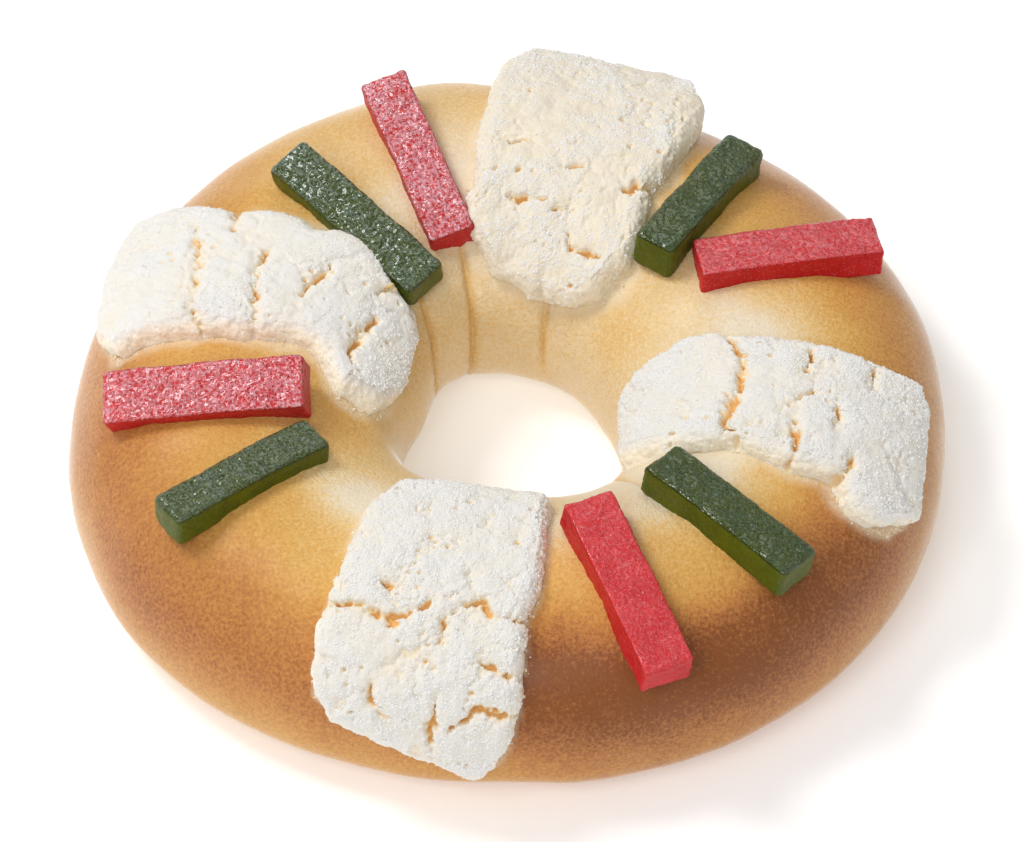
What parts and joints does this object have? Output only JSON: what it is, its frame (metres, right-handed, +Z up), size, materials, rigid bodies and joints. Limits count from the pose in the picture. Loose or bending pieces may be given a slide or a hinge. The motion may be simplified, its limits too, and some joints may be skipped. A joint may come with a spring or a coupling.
{
  "type": "roscon de reyes",
  "caption": "Ring of sweet bread with a round hole, strips of crumbly sugar paste draped over its crown and red and green fruit-paste bars laid between them.",
  "frame": {"origin": "under the middle of the whole ring, on the plane of its flat base", "axes": "+Z up out of the flat base, -Y towards the front sugar strip, +X to the right seen from the front"},
  "size_m": [0.2526, 0.2518, 0.0687],
  "materials": {
    "bread": "golden baked crust, soft sheen, darker brown on its right and front flanks and pale near the hole",
    "sugar_paste": "matt cream sugar paste, crumbly, strewn with coarse and fine sugar",
    "red_fruit_paste": "semi-gloss red fruit paste with a pebbled, glinting top",
    "green_fruit_paste": "semi-gloss dark green fruit paste with a pebbled top and clearer olive sides"
  },
  "bodies": {
    "root": {"bread_ring": "bread", "sugar_strip_back": "sugar_paste", "sugar_strip_left": "sugar_paste", "sugar_strip_right": "sugar_paste", "sugar_strip_front": "sugar_paste", "red_bar_back_left": "red_fruit_paste", "green_bar_back_left": "green_fruit_paste", "green_bar_back_right": "green_fruit_paste", "red_bar_back_right": "red_fruit_paste", "red_bar_left": "red_fruit_paste", "green_bar_left": "green_fruit_paste", "red_bar_front": "red_fruit_paste", "green_bar_front": "green_fruit_paste"}
  },
  "joints": []
}
